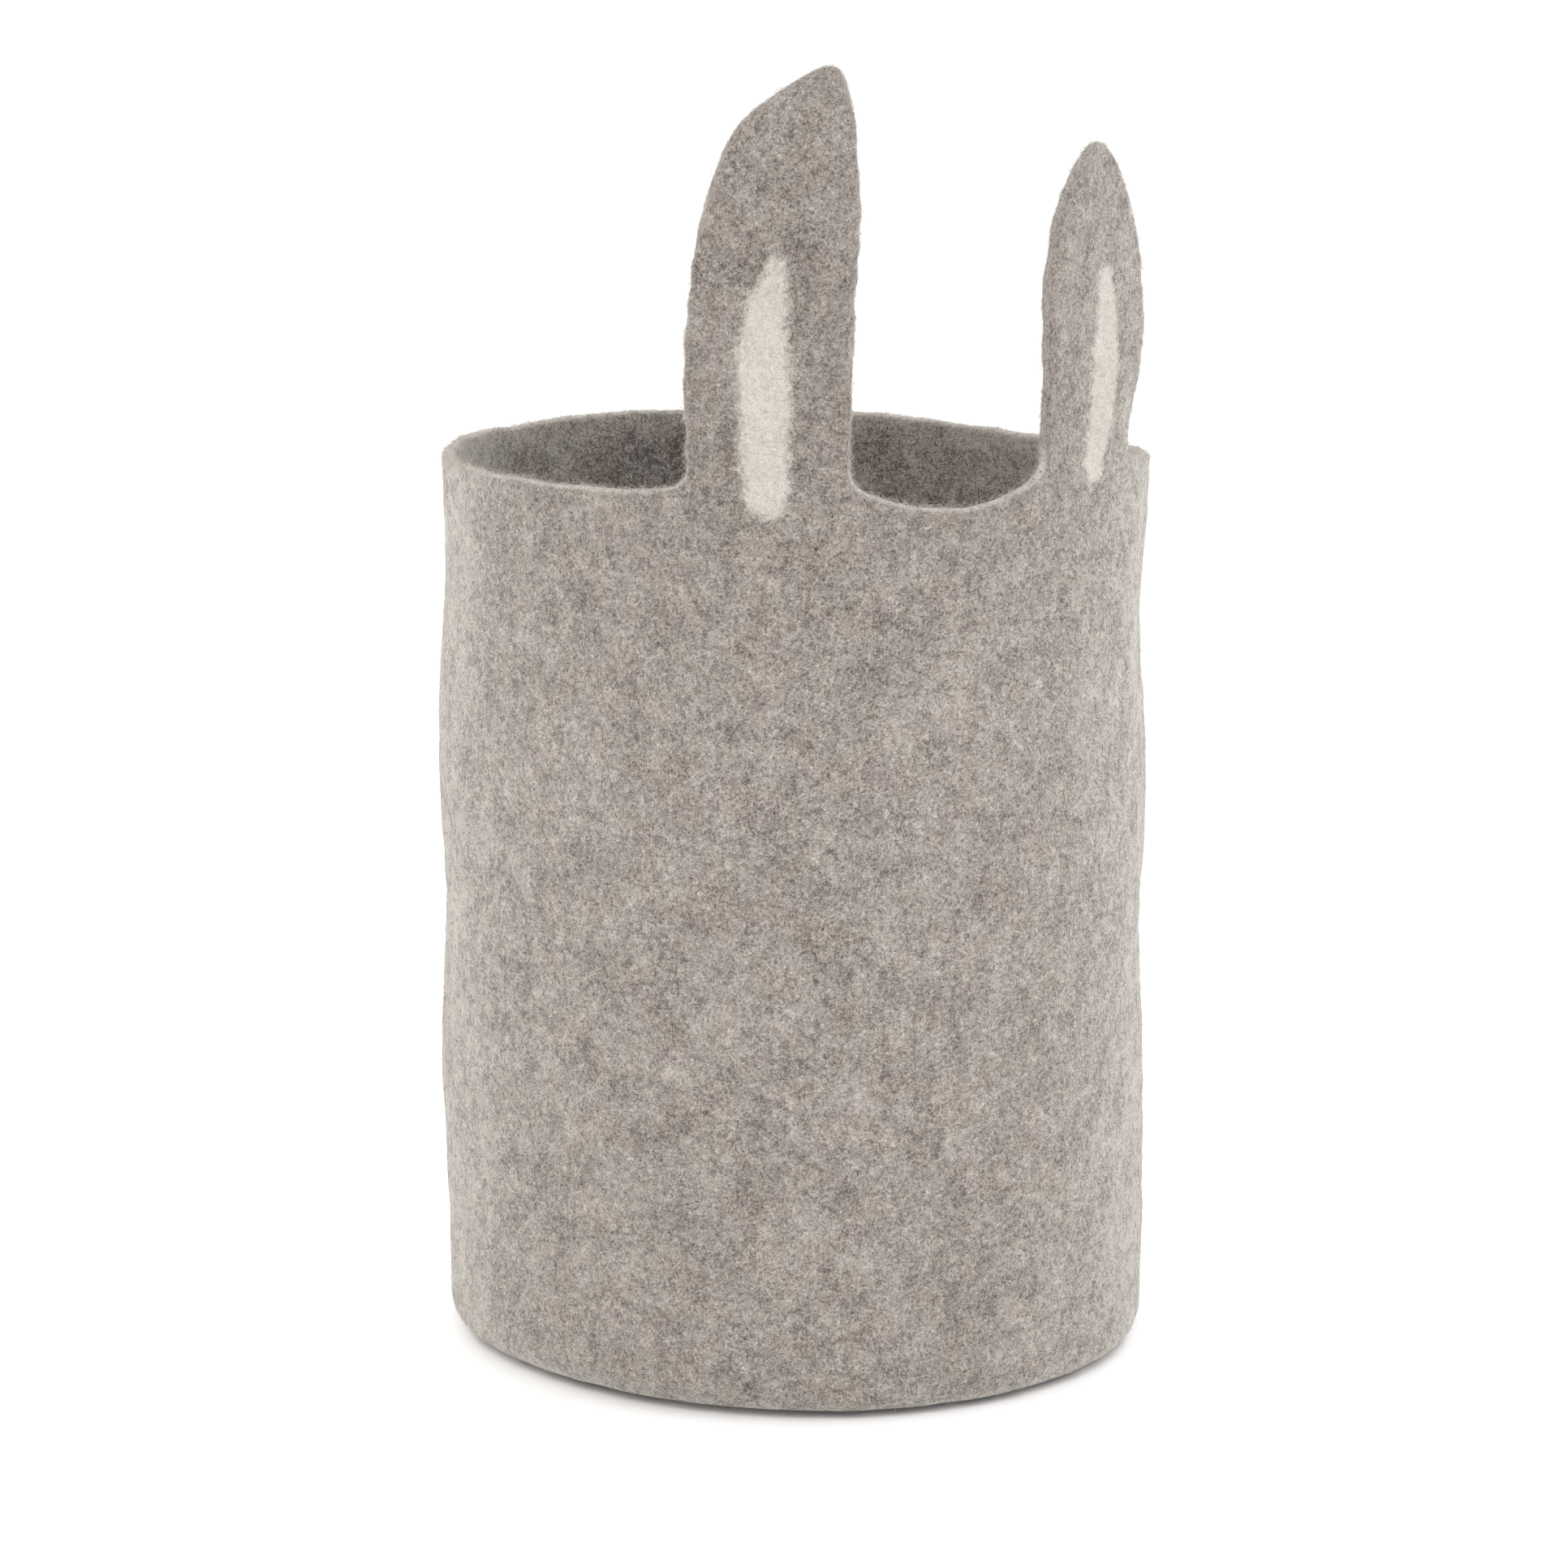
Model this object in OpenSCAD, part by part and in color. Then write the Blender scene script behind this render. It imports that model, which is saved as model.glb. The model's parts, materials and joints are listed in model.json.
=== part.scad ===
// Felted storage basket with two standing rabbit ears.
// Millimetres, +Z up, origin at the centre of the underside, front (between the ears) towards -Y.
// Basket and ears are one seamless felt shell, shown here as nodes that touch or meet at a fold.

/* [Basket] */
// Outside radius of the round basket
basket_r = 150; // [145:1:156]
// Height of the plain rim above the floor
rim_h = 381; // [372:1:388]
// Thickness of the felt
felt_t = 6; // [4:0.5:8]
// Outside radius of the rounded bottom corner
corner_r = 10; // [9:0.5:16]
// Depth of the dip in the rim between the ears
dip_depth = 8; // [3:0.5:12]
// Radius of the dip's curve
dip_r = 79.5; // [72:0.5:95]

/* [Ears] */
// Angle of each ear from the front
ear_angle = 29.2; // [27.5:0.1:32]
// Half width of an ear where it leaves the rim
ear_half_w = 32.5; // [28:0.5:34]
// Radius of the fillet between rim and ear
ear_fillet = 9; // [5:0.5:10]
// Height of the fold line above the plain rim
fold_rise = 13; // [12:0.5:18]
// Half of the bending stretch that is left open at the fold
fold_gap = 4; // [3.5:0.1:4]
// Height of the left ear above its fold
left_ear_h = 154; // [140:1:165]
// Height of the right ear above its fold
right_ear_h = 122; // [110:1:135]

/* [Inner ears] */
// Depth to which the white wool is felted into the ear
inlay_t = 1.5; // [0.8:0.1:2]

/* [Part to draw] */
// Node to draw

/* [Hidden] */
$fn = 96;
inner_r = basket_r - felt_t;
base_r = basket_r - corner_r;
lip_r = 2;
fold_h = rim_h + fold_rise;
stub_h = fold_h - fold_gap;
ear_foot = fold_h + fold_gap;
top = fold_h + left_ear_h + 10;
// Dip: half width is the distance from the front line to an ear's inner edge
dip_half_w = basket_r * sin(ear_angle - asin(ear_half_w / basket_r));
felt_grey = [0.42, 0.37, 0.33];
wool_white = [0.78, 0.73, 0.65];

// Point of a cubic curve, and a stretch of n points along it that leaves its end to the next stretch
function curve_at(p, t) = (1 - t) ^ 3 * p[0] + 3 * (1 - t) ^ 2 * t * p[1] + 3 * (1 - t) * t ^ 2 * p[2] + t ^ 3 * p[3];
function stretch(p, n) = [for (i = [0 : n - 1]) curve_at(p, i / n)];
// Heights of an ear are written as fractions of its own height above the fold
function ear_points(ps, h) = [for (p = ps) [p[0], fold_h + p[1] * h]];

// Left ear: steep outer side, slanted shoulder, narrow tip that leans towards the right ear
left_outline = concat(
    [[-ear_half_w, stub_h - 30]],
    stretch(ear_points([[-ear_half_w - 0.2, 0.2], [-ear_half_w - 0.2, 0.44], [-26.5, 0.72], [-12.5, 0.845]], left_ear_h), 6),
    stretch(ear_points([[-12.5, 0.845], [-5, 0.893], [12, 0.957], [25, 1]], left_ear_h), 4),
    stretch(ear_points([[25, 1], [29, 1.01], [33.5, 0.935], [34.5, 0.87]], left_ear_h), 5),
    stretch(ear_points([[34.5, 0.87], [37.5, 0.69], [ear_half_w + 1.5, 0.4], [ear_half_w, -0.05]], left_ear_h), 6),
    [[ear_half_w, stub_h - 30]]);

// Right ear: leaf shape, fullest a third of the way up
right_outline = concat(
    [[-ear_half_w, stub_h - 30]],
    stretch(ear_points([[-ear_half_w, 0.08], [-ear_half_w, 0.21], [-35, 0.38], [-34.5, 0.54]], right_ear_h), 4),
    stretch(ear_points([[-34.5, 0.54], [-34, 0.72], [-24, 0.893], [-6, 0.98]], right_ear_h), 6),
    stretch(ear_points([[-6, 0.98], [-1, 1.008], [5, 1.008], [10, 0.975]], right_ear_h), 4),
    stretch(ear_points([[10, 0.975], [25, 0.893], [37.5, 0.63], [38.5, 0.35]], right_ear_h), 7),
    stretch(ear_points([[38.5, 0.35], [39, 0.2], [ear_half_w + 1, 0.15], [ear_half_w, -0.06]], right_ear_h), 4),
    [[ear_half_w, stub_h - 30]]);

left_inlay = concat(
    stretch(ear_points([[-8.5, -0.13], [-13, 0.04], [-13.5, 0.234], [-7, 0.415]], left_ear_h), 6),
    stretch(ear_points([[-7, 0.415], [-3, 0.48], [1, 0.52], [4.5, 0.54]], left_ear_h), 4),
    stretch(ear_points([[4.5, 0.54], [8.5, 0.53], [10, 0.364], [9.5, 0.2]], left_ear_h), 5),
    stretch(ear_points([[9.5, 0.2], [9.5, 0.04], [8.5, -0.06], [5.5, -0.13]], left_ear_h), 4),
    stretch(ear_points([[5.5, -0.13], [2, -0.15], [-5, -0.15], [-8.5, -0.13]], left_ear_h), 3));

right_inlay = concat(
    stretch(ear_points([[-3.5, -0.13], [-3, 0.01], [2, 0.17], [2.5, 0.295]], right_ear_h), 4),
    stretch(ear_points([[2.5, 0.295], [2.5, 0.42], [2, 0.5], [6, 0.566]], right_ear_h), 4),
    stretch(ear_points([[6, 0.566], [9, 0.59], [12, 0.58], [14, 0.53]], right_ear_h), 3),
    stretch(ear_points([[14, 0.53], [19, 0.42], [20.5, 0.33], [19, 0.24]], right_ear_h), 4),
    stretch(ear_points([[19, 0.24], [16, 0.1], [12, 0.05], [9, -0.13]], right_ear_h), 4),
    stretch(ear_points([[9, -0.13], [6, -0.155], [-1, -0.155], [-3.5, -0.13]], right_ear_h), 3));

// Upright tube between two radii and two heights
module tube(r_out, r_in, z_low, z_high) {
    translate([0, 0, z_low])
        difference() {
            cylinder(r = r_out, h = z_high - z_low);
            translate([0, 0, -1]) cylinder(r = r_in, h = z_high - z_low + 2);
        }
}

// Prism through the felt at one angle, from an outline of tangential distance and height
module prism_at(angle) {
    rotate([0, 0, angle])
        translate([0, -basket_r + 30, 0])
            rotate([90, 0, 0])
                linear_extrude(height = 40) children();
}

module wall_profile() {
    difference() {
        union() {
            translate([inner_r, corner_r]) square([felt_t, rim_h - lip_r - corner_r]);
            translate([inner_r + lip_r, rim_h - lip_r - 1]) square([felt_t - 2 * lip_r, lip_r + 1]);
            translate([inner_r + lip_r, rim_h - lip_r]) circle(r = lip_r);
            translate([basket_r - lip_r, rim_h - lip_r]) circle(r = lip_r);
            intersection() {
                translate([base_r, corner_r]) circle(r = corner_r);
                translate([base_r, 0]) square([corner_r, corner_r]);
            }
        }
        translate([base_r, corner_r]) circle(r = corner_r - felt_t);
        translate([base_r - 1, felt_t]) square([1, corner_r]);
    }
}

// Foot of one ear, up to the fold, with a fillet onto the rim on its outer side
module stub_outline() {
    difference() {
        translate([-ear_half_w - ear_fillet, rim_h - 6])
            square([2 * ear_half_w + ear_fillet, stub_h - rim_h + 6]);
        translate([-ear_half_w - ear_fillet, stub_h]) circle(r = ear_fillet);
    }
}

// White patch of one ear between two heights, as deep as it is felted in
module inlay(angle, points, r_out, z_low, z_high) {
    intersection() {
        tube(r_out, basket_r - inlay_t, z_low, z_high);
        prism_at(angle) polygon(points);
    }
}

module felt_ear(angle, outline, inlay_points) {
    difference() {
        intersection() {
            tube(basket_r, inner_r, ear_foot, top);
            prism_at(angle) polygon(outline);
        }
        inlay(angle, inlay_points, basket_r + 5, ear_foot - 5, top);
    }
}

module basket_wall() {
    color(felt_grey)
        difference() {
            union() {
                rotate_extrude() wall_profile();
                intersection() {
                    tube(basket_r, inner_r, rim_h - 5, stub_h);
                    union() {
                        prism_at(-ear_angle) stub_outline();
                        prism_at(ear_angle) mirror([1, 0]) stub_outline();
                        prism_at(0) translate([-dip_half_w - 5, rim_h - 6]) square([2 * dip_half_w + 10, 30]);
                    }
                }
            }
            prism_at(0)
                intersection() {
                    translate([0, rim_h - dip_depth + dip_r]) circle(r = dip_r);
                    translate([-dip_half_w, rim_h - 20]) square([2 * dip_half_w, 60]);
                }
            inlay(-ear_angle, left_inlay, basket_r + 5, rim_h - 20, stub_h + 5);
            inlay(ear_angle, right_inlay, basket_r + 5, rim_h - 20, stub_h + 5);
        }
}

module basket_base() {
    color(felt_grey) cylinder(r = base_r, h = felt_t);
}

module ear_left() {
    color(felt_grey) felt_ear(-ear_angle, left_outline, left_inlay);
}

module ear_right() {
    color(felt_grey) felt_ear(ear_angle, right_outline, right_inlay);
}

module inner_ear_left() {
    color(wool_white) inlay(-ear_angle, left_inlay, basket_r, ear_foot, top);
}

module inner_ear_right() {
    color(wool_white) inlay(ear_angle, right_inlay, basket_r, ear_foot, top);
}

module inner_ear_root_left() {
    color(wool_white) inlay(-ear_angle, left_inlay, basket_r, rim_h - 20, stub_h);
}

module inner_ear_root_right() {
    color(wool_white) inlay(ear_angle, right_inlay, basket_r, rim_h - 20, stub_h);
}

basket_wall();
basket_base();
ear_left();
ear_right();
inner_ear_left();
inner_ear_right();
inner_ear_root_left();
inner_ear_root_right();
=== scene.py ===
import json
import math

import bpy
import numpy as np
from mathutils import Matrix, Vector


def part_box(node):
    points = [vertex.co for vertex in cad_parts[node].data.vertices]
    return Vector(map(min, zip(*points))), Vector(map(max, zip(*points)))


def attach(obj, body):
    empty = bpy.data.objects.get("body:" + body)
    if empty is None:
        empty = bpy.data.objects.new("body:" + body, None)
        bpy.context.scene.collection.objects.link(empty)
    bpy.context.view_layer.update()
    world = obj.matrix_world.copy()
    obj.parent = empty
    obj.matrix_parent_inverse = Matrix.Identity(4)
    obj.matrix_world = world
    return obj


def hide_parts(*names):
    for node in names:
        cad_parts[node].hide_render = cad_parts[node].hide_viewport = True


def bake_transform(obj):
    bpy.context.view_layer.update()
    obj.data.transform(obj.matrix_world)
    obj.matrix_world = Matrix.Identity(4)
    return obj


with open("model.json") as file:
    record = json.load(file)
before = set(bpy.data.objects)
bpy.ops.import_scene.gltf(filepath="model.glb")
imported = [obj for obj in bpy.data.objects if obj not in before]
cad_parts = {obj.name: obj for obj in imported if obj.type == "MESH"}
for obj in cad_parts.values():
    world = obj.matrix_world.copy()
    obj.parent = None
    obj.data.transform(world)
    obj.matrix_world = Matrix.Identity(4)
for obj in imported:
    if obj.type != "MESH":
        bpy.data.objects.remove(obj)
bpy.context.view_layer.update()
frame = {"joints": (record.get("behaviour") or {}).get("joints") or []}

MM = 0.001

# ---- Sizes, from the CAD nodes and joints (millimetres from here on; metres only when a mesh is made) ----
# The wall node ends in a stub under each ear; the level rim, the cut and the bend are measured from its top
RIM_BELOW_STUB, CUT_BELOW_STUB, BEND_ABOVE_STUB = 9.0, 2.0, 14.0
wall_box, base_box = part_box("basket_wall"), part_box("basket_base")
OUT_R = wall_box[1].x / MM
FELT = base_box[1].z / MM
MID_R = OUT_R - FELT / 2
CORNER_R = OUT_R - base_box[1].x / MM
STUB_Z = wall_box[1].z / MM
RIM_Z = STUB_Z - RIM_BELOW_STUB
SEAM_Z = STUB_Z - CUT_BELOW_STUB  # the wall piece ends and the ear pieces begin here, below the bend
joints = {j["child"]: j for j in frame["joints"]}
FOLD_Z = joints["left_ear"]["pos_m"][2] / MM


def joint_angle(body):
    x, y, _ = joints[body]["pos_m"]
    return math.atan2(x, -y)


EAR_ANGLE = {"left": joint_angle("left_ear"), "right": joint_angle("right_ear")}
EAR_U = {side: a * OUT_R for side, a in EAR_ANGLE.items()}


# ---- Outlines on the unrolled wall: u is the distance round the outside, z the height ----
def curve(points, n=14):
    """Points along one cubic curve, its end left out."""
    p = np.array(points, float)
    t = np.arange(n)[:, None] / n
    return (1 - t) ** 3 * p[0] + 3 * (1 - t) ** 2 * t * p[1] + 3 * (1 - t) * t**2 * p[2] + t**3 * p[3]


def path(*curves, n=14):
    return np.vstack([curve(c, n) for c in curves] + [np.array(curves[-1][-1], float)[None]])


# Ear edges: distance from the ear's centre line and height above the fold, from the root to the tip
ROOT = SEAM_Z - FOLD_Z
EAR_LEFT_EDGE = {
    "left": path(
        [(-34.0, ROOT), (-32.8, -2), (-33.4, 4), (-33.8, 12)],
        [(-33.8, 12), (-34.5, 36), (-33.9, 52), (-31.4, 69)],
        [(-31.4, 69), (-29.4, 86), (-25.6, 110), (-13.6, 129.0)],
        [(-13.6, 129.0), (-7.8, 137.5), (7, 146.6), (17.5, 152.2)],
        [(17.5, 152.2), (20.5, 153.7), (22.8, 154.3), (25.2, 154.3)],
    ),
    "right": path(
        [(-32.7, ROOT), (-31.5, -2), (-31.6, 6), (-32.0, 16)],
        [(-32.0, 16), (-31.4, 30), (-33.6, 46), (-34.2, 62)],
        [(-34.2, 62), (-34.2, 84), (-25.5, 106), (-10.5, 117.2)],
        [(-10.5, 117.2), (-7.5, 119.6), (-4, 122), (-0.6, 122)],
    ),
}
EAR_RIGHT_EDGE = {
    "left": path(
        [(33.2, ROOT), (32.4, -2), (32.8, 4), (33.1, 14)],
        [(33.1, 14), (33.8, 40), (34.3, 64), (36.1, 84)],
        [(36.1, 84), (37.2, 104), (35.6, 122), (34.0, 135)],
        [(34.0, 135), (32.6, 144), (30.0, 154.3), (25.2, 154.3)],
    ),
    "right": path(
        [(33.4, ROOT), (31.6, -2), (31.8, 1), (33.4, 6)],
        [(33.4, 6), (37.8, 14), (40.2, 22), (40.2, 36)],
        [(40.2, 36), (40.2, 62), (33.0, 86), (16.5, 108)],
        [(16.5, 108), (11, 116), (5, 122), (-0.6, 122)],
    ),
}
PATCH = {
    "left": path(
        [(-8.6, -20), (-11.5, -6), (-13.0, 14), (-12.0, 36)],
        [(-12.0, 36), (-11.9, 50), (-9.8, 60), (-1.6, 75.5)],
        [(-1.6, 75.5), (1.0, 81), (6.0, 83), (7.6, 75)],
        [(7.6, 75), (8.6, 56), (9.2, 34), (8.8, 12)],
        [(8.8, 12), (7.8, 2), (8.6, -8), (6.4, -20)],
        [(6.4, -20), (2, -24), (-5, -24), (-8.6, -20)],
        n=8,
    ),
    "right": path(
        [(-8.4, -13), (-8.6, -1), (-5.8, 16), (-3.8, 32)],
        [(-3.8, 32), (-2.4, 46), (-2.4, 56), (-1.2, 66)],
        [(-1.2, 66), (1.0, 75), (6.6, 75), (9.4, 65)],
        [(9.4, 65), (14.0, 53), (18.2, 40), (16.2, 24)],
        [(16.2, 24), (14.0, 10), (8.6, 4), (4.8, -13)],
        [(4.8, -13), (2.2, -17), (-5, -17), (-8.4, -13)],
        n=8,
    ),
}
for outline in (*EAR_LEFT_EDGE.values(), *EAR_RIGHT_EDGE.values(), *PATCH.values()):
    outline[:, 1] += FOLD_Z

# Rim between the ears and beside them
L, R = EAR_U["left"], EAR_U["right"]
VALLEY = path(
    [(L + 33.2, SEAM_Z), (L + 34.1, 384.0), (-38.5, 381.2), (-29.5, 378.6)],
    [(-29.5, 378.6), (-19, 375.4), (-8, 373.9), (3, 373.9)],
    [(3, 373.9), (14, 373.9), (25, 376.6), (32, 380.0)],
    [(32, 380.0), (38.5, 383.2), (R - 34.4, 384.4), (R - 32.7, SEAM_Z)],
)
LEFT_SLOPE = path(
    [(L - 66, RIM_Z), (L - 55, RIM_Z + 0.1), (L - 46, RIM_Z + 0.9), (L - 40, RIM_Z + 2.3)],
    [(L - 40, RIM_Z + 2.3), (L - 37.2, RIM_Z + 3.0), (L - 35.2, RIM_Z + 4.2), (L - 34.0, SEAM_Z)],
)
RIGHT_SLOPE = path(
    [(R + 33.4, SEAM_Z), (R + 35.0, RIM_Z + 5.2), (R + 39.0, RIM_Z + 3.9), (R + 46, RIM_Z + 3.2)],
    [(R + 46, RIM_Z + 3.2), (R + 62, RIM_Z + 1.8), (R + 78, RIM_Z + 0.2), (R + 104, RIM_Z)],
)
TURN = 2 * math.pi * OUT_R
# Nothing below these heights is near the free edge or a patch, so no distance is worked out there
EDGE_LOW_Z, THINNING_LOW_Z, PATCH_LOW_Z = 355, 362, 350

rng = np.random.default_rng(842)


def wrapped(u):
    """The same place round the wall, between half a turn left and right of the front."""
    return (u + TURN / 2) % TURN - TURN / 2


def ripple(x, shortest, longest, size, count=9):
    """Uneven run of a hand-cut edge along x."""
    length = np.exp(rng.uniform(math.log(shortest), math.log(longest), count))
    phase = rng.uniform(0, 2 * math.pi, count)
    sines = np.sin(np.asarray(x)[..., None] * 2 * math.pi / length + phase)
    return size * sines.sum(-1) / math.sqrt(count / 2)


for outline in (*EAR_LEFT_EDGE.values(), *EAR_RIGHT_EDGE.values()):
    z = outline[:, 1]
    from_root, to_tip = np.clip((z - SEAM_Z) / 12, 0, 1), np.clip((z.max() - z) / 30, 0, 1)
    outline[:, 0] += ripple(z, shortest=11.0, longest=48.0, size=0.32) * from_root * to_tip
RIM_STEPS = np.arange(0, TURN, 1.0)
RIM_RIPPLE = ripple(RIM_STEPS, shortest=20.0, longest=60.0, size=0.22)


def rim_ripple(u, z):
    """Ripple of the rim, which fades out before the steep stretches beside the ears."""
    wave = np.interp(u % TURN, RIM_STEPS, RIM_RIPPLE, period=TURN)
    return wave * np.clip((SEAM_Z - 2.5 - z) / 3, 0, 1)


for outline in (LEFT_SLOPE, VALLEY, RIGHT_SLOPE):
    outline[:, 1] += rim_ripple(outline[:, 0], outline[:, 1])


def bumps(angle_deg, z, table):
    """Soft rises and dips. Rows of the table: angle, height, spread in degrees, spread in height, size."""
    total = np.zeros(np.broadcast(angle_deg, z).shape)
    for a0, z0, da, dz, size in table:
        turn = (np.asarray(angle_deg) - a0 + 180) % 360 - 180
        total = total + size * np.exp(-((turn / da) ** 2) - ((np.asarray(z) - z0) / dz) ** 2)
    return total


# The rim is not level. Rows as in bumps, with no height of their own: angle, 0, spread, 1, rise
RIM_RISES = [
    (-171, 0, 26, 1, 3.2), (107, 0, 24, 1, -4.0), (-131, 0, 14, 1, 1.8),
    (142, 0, 13, 1, 1.2), (-84, 0, 10, 1, 0.5),
]


def rim_height(u):
    base = RIM_Z + bumps(np.degrees(u / OUT_R), 0 * u, RIM_RISES)
    base = base + rim_ripple(u, base)
    for part in (LEFT_SLOPE, VALLEY, RIGHT_SLOPE):
        on_part = (u >= part[0, 0]) & (u <= part[-1, 0])
        base = np.where(on_part, np.interp(u, part[:, 0], part[:, 1]), base)
    return base


def ear_outline(side):
    return np.vstack([EAR_LEFT_EDGE[side], EAR_RIGHT_EDGE[side][-2::-1]])


def felt_edge():
    """The whole free edge of the unrolled felt as one line."""
    left, right = ear_outline("left") + (L, 0), ear_outline("right") + (R, 0)
    before = np.arange(-TURN / 2 - 30, LEFT_SLOPE[0, 0] - 1, 3.0)
    after = np.arange(RIGHT_SLOPE[-1, 0] + 1, TURN / 2 + 30, 3.0)
    back_left = np.stack([before, rim_height(wrapped(before))], 1)
    back_right = np.stack([after, rim_height(wrapped(after))], 1)
    return np.vstack([back_left, LEFT_SLOPE[:-1], left, VALLEY[1:-1], right, RIGHT_SLOPE[1:], back_right])


def line_distance(points, line):
    """Distance of each point from a line of short straight stretches."""
    a, b = line[:-1], line[1:]
    d = b - a
    length = np.maximum((d**2).sum(1), 1e-9)
    best = np.full(len(points), 1e9)
    for i in range(0, len(points), 4000):
        p = points[i : i + 4000, None, :] - a[None]
        t = np.clip((p * d[None]).sum(2) / length, 0, 1)
        best[i : i + 4000] = np.sqrt(((p - t[..., None] * d[None]) ** 2).sum(2)).min(1)
    return best


def inside_loop(points, loop):
    """Which points lie inside a closed outline."""
    x, y = points[:, 0, None], points[:, 1, None]
    ax, ay = loop[:-1, 0], loop[:-1, 1]
    bx, by = loop[1:, 0], loop[1:, 1]
    crosses = ((ay > y) != (by > y)) & (x < (bx - ax) * (y - ay) / (by - ay + 1e-12) + ax)
    return crosses.sum(1) % 2 == 1


EDGE = felt_edge()
ROUND_R = FELT / 2


def half_thickness(u, z):
    """Half the felt's thickness, which rounds off to nothing at its free edge."""
    points = np.stack([u, z], -1).reshape(-1, 2)
    near = np.full(len(points), ROUND_R)
    high = points[:, 1] > THINNING_LOW_Z
    near[high] = np.minimum(line_distance(points[high], EDGE), ROUND_R)
    half = ROUND_R * np.sqrt(np.maximum(0, 1 - (1 - near / ROUND_R) ** 2))
    return half.reshape(u.shape)


# ---- Hand-made unevenness ----
def waves(shortest, longest, count):
    """A field of waves in every direction, with lengths between the two given."""
    direction = rng.normal(size=(count, 3))
    direction /= np.linalg.norm(direction, axis=1)[:, None]
    length = np.exp(rng.uniform(math.log(shortest), math.log(longest), count))
    return direction * (2 * math.pi / length)[:, None], rng.uniform(0, 2 * math.pi, count)


BROAD, LUMPS = waves(70, 200, 26), waves(14, 45, 60)
BROAD_SIZE, LUMP_SIZE = 0.45, 0.16


def uneven(points, field):
    """Height of a field of waves at each point, about -1 to 1."""
    k, phase = field
    return np.sin(points @ k.T + phase).sum(-1) / math.sqrt(len(phase) / 2)


# The wall's own bulges and hollows, as rows of bumps
BULGES = [
    (-113, 256, 24, 45, 1.1), (-113, 188, 22, 30, -1.5), (-111, 170, 30, 140, 2.2), (-111, 335, 25, 35, -1.5),
    (61, 175, 25, 40, -2.2), (61, 318, 25, 42, -3.2), (61, 60, 25, 60, 1.4), (10, 200, 40, 120, 0.6),
]
OVAL_AT, OVAL_LOW, OVAL_HIGH = math.radians(20), 3.2, 1.0
EDGE_LIFT = 1.3


def wall_offset(angle, z):
    """How far the wall stands outside its true cylinder: a little oval, with bulges."""
    oval = OVAL_LOW + (OVAL_HIGH - OVAL_LOW) * np.clip(z / RIM_Z, 0, 1)
    return oval * np.cos(2 * (angle - OVAL_AT)) + bumps(np.degrees(angle), z, BULGES)


def corner_radius(angle):
    """The bottom edge is rounder at the front left."""
    return CORNER_R + bumps(np.degrees(angle), 0 * angle, [(-62, 0, 38, 1, 7.0)])


def edge_lift(angle):
    """The base bellies a little, so the bottom edge stands clear of the floor."""
    return EDGE_LIFT + bumps(np.degrees(angle), 0 * angle, [(-38, 0, 30, 1, 0.5), (60, 0, 30, 1, -0.5)])


def smooth(t):
    t = np.clip(t, 0, 1)
    return t * t * (3 - 2 * t)


def wall_point(u, z, n):
    """Point of the wall at distance u round it, height z and offset n outwards from the felt's middle."""
    a = u / OUT_R
    flat = np.stack([MID_R * np.sin(a), -MID_R * np.cos(a), z], -1)
    corner = corner_radius(a)
    inset = corner * (1 - np.sqrt(np.maximum(0, 1 - np.clip((corner - z) / corner, 0, 1) ** 2)))
    r = MID_R + n + wall_offset(a, z) + BROAD_SIZE * uneven(flat, BROAD)
    r = r + LUMP_SIZE * uneven(flat + n[..., None] * 3, LUMPS)
    r = r - np.where(n > 0, inset, 0)
    return np.stack([r * np.sin(a), -r * np.cos(a), z], -1)


EAR_FLATTEN = {"left": 0.62, "right": 0.85}  # share of the wall's curve that the ear has lost at its tip
EAR_LEAN = {"left": 1.5, "right": 2.5}  # outwards at the tip


def ear_point(side, s, z, n):
    """Point of an ear: it leaves the wall with the wall's curve and flattens towards its tip."""
    above = z - STUB_Z
    bend = (1 - EAR_FLATTEN[side] * smooth(above / 60)) / MID_R
    arc = s * (MID_R / OUT_R)
    across, back = np.sin(bend * arc) / bend, (1 - np.cos(bend * arc)) / bend
    a = EAR_ANGLE[side]
    out, along = np.array([math.sin(a), -math.cos(a)]), np.array([math.cos(a), math.sin(a)])
    at = (MID_R - back)[..., None] * out + across[..., None] * along
    angle = np.arctan2(at[..., 0], -at[..., 1])
    flat = np.concatenate([at, z[..., None]], -1)
    fade = 1 - 0.7 * smooth(above / 50)
    push = n + fade * wall_offset(angle, z) + BROAD_SIZE * uneven(flat, BROAD)
    push = push + LUMP_SIZE * uneven(flat + n[..., None] * 3, LUMPS)
    push = push + EAR_LEAN[side] * smooth(above / 160) ** 1.5
    normal = np.cos(bend * arc)[..., None] * out + np.sin(bend * arc)[..., None] * along
    return np.concatenate([at + push[..., None] * normal, z[..., None]], -1)


# ---- Grids ----
EDGE_STEPS = np.array([0, 0.06, 0.25, 0.6, 1.1, 1.8, 2.7, 3.8])
EAR_INNER_COLUMNS = 40
CORNER_TOP = 12.4  # height above the floor at which the corner hands over to the wall's own rows
LEVEL_ROWS_TOP = 352  # the wall's rows are level up to here, and bend to follow the rim above it


def ear_columns(width):
    """Places across an ear as shares of its width, close together at both edges."""
    steps = EDGE_STEPS * min(1.0, 0.28 * width / EDGE_STEPS[-1])
    middle = np.linspace(steps[-1], width - steps[-1], EAR_INNER_COLUMNS)
    return np.concatenate([steps[:-1], middle, (width - steps[:-1])[::-1]])


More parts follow.
